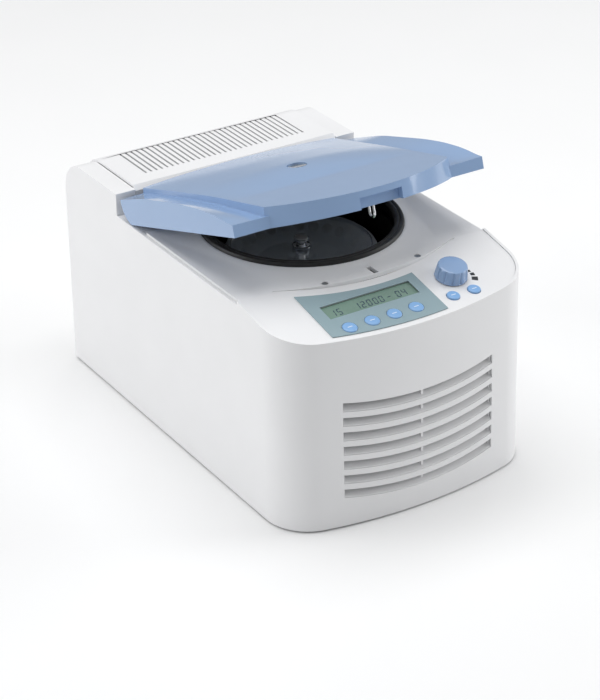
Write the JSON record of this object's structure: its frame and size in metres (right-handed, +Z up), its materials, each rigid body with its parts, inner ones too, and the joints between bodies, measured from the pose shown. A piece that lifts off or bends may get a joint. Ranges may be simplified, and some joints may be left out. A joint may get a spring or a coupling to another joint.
{
  "type": "microcentrifuge",
  "caption": "Refrigerated bench microcentrifuge: hinged lid over a cooled chamber, slanted-well rotor with a clear lid, sloping control panel with display, dial and keys, louvred front.",
  "frame": {"origin": "on the bench under the middle of the body's outline", "axes": "+Z up, the front with the control panel faces -Y, +X to the right of a person facing the front"},
  "size_m": [0.29, 0.4559, 0.312],
  "materials": {
    "white_moulding": "satin moulded casing",
    "deck_moulding": "satin moulded deck",
    "blue_lid": "glossy light blue",
    "blue_key": "satin light blue",
    "grey_label": "satin grey-blue label",
    "lcd": "grey-green liquid crystal",
    "black_plastic": "satin black",
    "black_rubber": "matt black",
    "dark_chamber": "dark coated steel",
    "sheet_steel": "zinc plated",
    "back_paint": "white powder coat",
    "bright_chrome": "polished",
    "rotor_alloy": "dark anodised",
    "smoke_clear": "smoked clear polycarbonate",
    "foam": "rigid foam",
    "copper_pipe": "drawn copper",
    "circuit_board": "green solder mask",
    "black_paint": "black gloss paint"
  },
  "bodies": {
    "housing": {"outer_shell": "white_moulding", "front_louvres": "white_moulding", "rear_vent_cover": "white_moulding", "back_panel": "back_paint", "base_pan": "sheet_steel", "front_left_foot": "black_rubber", "rear_left_foot": "black_rubber", "front_right_foot": "black_rubber", "rear_right_foot": "black_rubber", "deck_plate": "deck_moulding", "deck_screw_left": "sheet_steel", "deck_screw_right": "sheet_steel", "chamber_gasket": "black_rubber", "chamber_bowl": "dark_chamber", "evaporator_coil": "copper_pipe", "insulation_jacket": "foam", "drive_motor": "black_paint", "motor_mount_1": "black_rubber", "motor_mount_2": "black_rubber", "motor_mount_3": "black_rubber", "compressor": "black_paint", "compressor_mount_1": "black_rubber", "compressor_mount_2": "black_rubber", "compressor_mount_3": "black_rubber", "condenser": "sheet_steel", "fan_shroud": "black_plastic", "fan_frame": "black_plastic", "discharge_line": "copper_pipe", "suction_line": "copper_pipe", "drive_board": "circuit_board", "power_inlet": "black_plastic", "power_switch": "black_plastic", "control_panel": "white_moulding", "display_overlay": "grey_label", "lcd_module": "lcd", "control_board": "circuit_board", "latch_housing": "black_plastic", "hinge_post_left": "sheet_steel", "hinge_post_right": "sheet_steel"},
    "lid": {"lid_shell": "blue_lid", "lid_liner": "deck_moulding", "viewport_window": "smoke_clear", "striker": "bright_chrome", "hinge_lug_left": "sheet_steel", "hinge_lug_right": "sheet_steel"},
    "rotor": {"rotor": "rotor_alloy", "motor_shaft": "sheet_steel"},
    "rotor_cover": {"rotor_lid": "smoke_clear"},
    "rotor_cover_knob": {"rotor_knob": "bright_chrome"},
    "fan": {"fan_impeller": "black_plastic"},
    "dial": {"set_dial": "blue_lid"},
    "latch": {"latch_bolt": "sheet_steel"},
    "fuse_holder": {"fuse_drawer": "black_plastic"},
    "rocker": {"power_rocker": "black_plastic"},
    "mode_key_cap": {"mode_key": "blue_key"},
    "time_key_cap": {"time_key": "blue_key"},
    "speed_key_cap": {"speed_key": "blue_key"},
    "temperature_key_cap": {"temperature_key": "blue_key"},
    "start_key_cap": {"start_key": "blue_key"},
    "stop_key_cap": {"stop_key": "blue_key"}
  },
  "joints": [
    {"name": "lid_hinge", "type": "hinge", "parent": "housing", "child": "lid", "pos_m": [0, 0.0818, 0.2423], "axis": [-1, 0, 0], "range_deg": [-18.2, 40]},
    {"name": "rotor_spin", "type": "hinge", "parent": "housing", "child": "rotor", "pos_m": [0, -0.0074, 0.15], "axis": [0, 0, 1], "continuous": true},
    {"name": "rotor_cover_lift", "type": "slide", "parent": "rotor", "child": "rotor_cover", "axis": [0, 0, 1], "range_m": [0, 0.03]},
    {"name": "rotor_knob_turn", "type": "hinge", "parent": "rotor_cover", "child": "rotor_cover_knob", "pos_m": [0, -0.0074, 0.195], "axis": [0, 0, 1], "range_deg": [0, 350]},
    {"name": "fan_spin", "type": "hinge", "parent": "housing", "child": "fan", "pos_m": [0, -0.156, 0.087], "axis": [0, -1, 0], "continuous": true},
    {"name": "dial_turn", "type": "hinge", "parent": "housing", "child": "dial", "pos_m": [0.066, -0.17266, 0.20864], "axis": [0, -0.1989, 0.98], "continuous": true},
    {"name": "latch_bolt_slide", "type": "slide", "parent": "housing", "child": "latch", "axis": [1, 0, 0], "range_m": [0, 0.008]},
    {"name": "fuse_drawer_slide", "type": "slide", "parent": "housing", "child": "fuse_holder", "axis": [0, 1, 0], "range_m": [0, 0.018]},
    {"name": "power_rocker_tilt", "type": "hinge", "parent": "housing", "child": "rocker", "pos_m": [0.112, 0.225, 0.044], "axis": [-1, 0, 0], "range_deg": [0, 16]},
    {"name": "mode_key_press", "type": "slide", "parent": "housing", "child": "mode_key_cap", "axis": [0, 0.1989, -0.98], "range_m": [0, 0.0008], "stiffness_N_per_m": 1500},
    {"name": "time_key_press", "type": "slide", "parent": "housing", "child": "time_key_cap", "axis": [0, 0.1989, -0.98], "range_m": [0, 0.0008], "stiffness_N_per_m": 1500},
    {"name": "speed_key_press", "type": "slide", "parent": "housing", "child": "speed_key_cap", "axis": [0, 0.1989, -0.98], "range_m": [0, 0.0008], "stiffness_N_per_m": 1500},
    {"name": "temperature_key_press", "type": "slide", "parent": "housing", "child": "temperature_key_cap", "axis": [0, 0.1989, -0.98], "range_m": [0, 0.0008], "stiffness_N_per_m": 1500},
    {"name": "start_key_press", "type": "slide", "parent": "housing", "child": "start_key_cap", "axis": [0, 0.1989, -0.98], "range_m": [0, 0.0008], "stiffness_N_per_m": 1500},
    {"name": "stop_key_press", "type": "slide", "parent": "housing", "child": "stop_key_cap", "axis": [0, 0.1989, -0.98], "range_m": [0, 0.0008], "stiffness_N_per_m": 1500}
  ]
}
